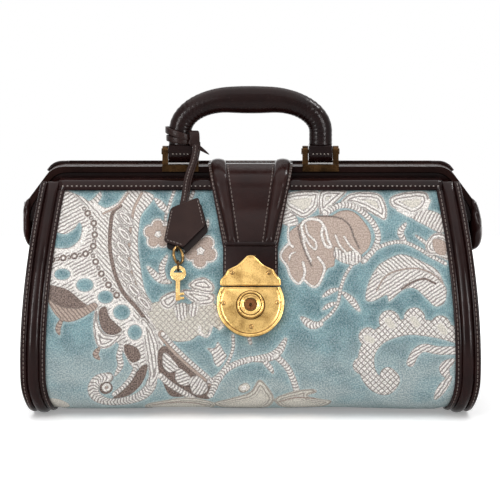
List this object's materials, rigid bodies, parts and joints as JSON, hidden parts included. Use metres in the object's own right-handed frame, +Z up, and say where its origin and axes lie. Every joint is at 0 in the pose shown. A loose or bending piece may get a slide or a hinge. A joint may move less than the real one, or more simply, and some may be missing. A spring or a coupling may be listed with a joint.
{
  "type": "handbag",
  "caption": "Frame handbag of the doctor's-bag kind: brocade body, leather bindings, hinged mouth, locking tab, swinging handle, key holder.",
  "frame": {"origin": "under the middle of the body, on the surface that the bag stands on", "axes": "+X to the right seen from the front, +Y to the back, +Z up"},
  "size_m": [0.3656, 0.1742, 0.2583],
  "materials": {
    "leather": "glazed dark brown calf",
    "brocade": "woven velvet brocade, blue ground with cream and taupe figures",
    "lining_cloth": "plain twill",
    "board": "fibre board",
    "brass": "antiqued, softly polished"
  },
  "bodies": {
    "bag": {"brocade_body": "brocade", "lining": "lining_cloth", "base_board": "board", "left_binding": "leather", "right_binding": "leather", "left_gusset": "leather", "right_gusset": "leather", "back_frame": "leather", "back_trim": "leather", "hinge_pins": "brass", "left_bracket": "brass", "right_bracket": "brass", "handle_pins": "brass", "tab_anchor": "leather", "lock_plate": "brass", "lock_rivets": "brass", "lock_ring": "brass", "lock_backplate": "brass"},
    "front_frame": {"front_frame": "leather", "front_trim": "leather"},
    "tab": {"tab_strap": "leather", "tab_ridges": "leather", "tab_band": "leather", "hasp_plate": "brass", "hasp_rivets": "brass"},
    "handle": {"handle_grip": "leather", "left_handle_end": "leather", "right_handle_end": "leather"},
    "lace": {"clochette_strap": "leather"},
    "clochette": {"clochette_front": "leather", "clochette_back": "leather", "clochette_ring": "brass", "key_ring": "brass"},
    "key": {"key": "brass"},
    "lock_button": {"lock_button": "brass"},
    "lock_plug": {"lock_plug": "brass"}
  },
  "joints": [
    {"name": "tab_lift", "type": "hinge", "parent": "bag", "child": "tab", "pos_m": [0, -0.0162, 0.1956], "axis": [-1, 0, 0], "range_deg": [0, 75]},
    {"name": "mouth_open", "type": "hinge", "parent": "bag", "child": "front_frame", "pos_m": [0, -0.002, 0.1503], "axis": [1, 0, 0], "range_deg": [0, 42], "deforming": ["brocade_body", "lining", "left_binding", "right_binding", "left_gusset", "right_gusset"]},
    {"name": "handle_swing", "type": "hinge", "parent": "bag", "child": "handle", "pos_m": [0, -0.008, 0.2057], "axis": [1, 0, 0], "range_deg": [-55, 55], "deforming": ["clochette_strap"]},
    {"name": "lace_push", "type": "hinge", "parent": "bag", "child": "lace", "pos_m": [-0.0465, -0.0175, 0.2152], "axis": [-1, 0, 0], "range_deg": [0, 16]},
    {"name": "clochette_swing", "type": "hinge", "parent": "lace", "child": "clochette", "pos_m": [-0.052, -0.0454, 0.17076], "axis": [-1, 0, 0], "range_deg": [0, 45]},
    {"name": "key_swing", "type": "hinge", "parent": "clochette", "child": "key", "pos_m": [-0.0565, -0.0746, 0.11873], "axis": [-1, 0, 0], "range_deg": [0, 25]},
    {"name": "button_press", "type": "slide", "parent": "bag", "child": "lock_button", "axis": [0, 0.9591, -0.2829], "range_m": [0, 0.002], "stiffness_N_per_m": 300, "springref_m": -0.001},
    {"name": "plug_turn", "type": "hinge", "parent": "lock_button", "child": "lock_plug", "pos_m": [0, -0.0833, 0.09361], "axis": [0, -0.9591, 0.2829], "range_deg": [0, 90]}
  ],
  "couplings": [
    {"joint": "mouth_open", "follows": "tab_lift", "ratio": 0.55},
    {"joint": "lace_push", "follows": "tab_lift", "ratio": 0.2}
  ]
}
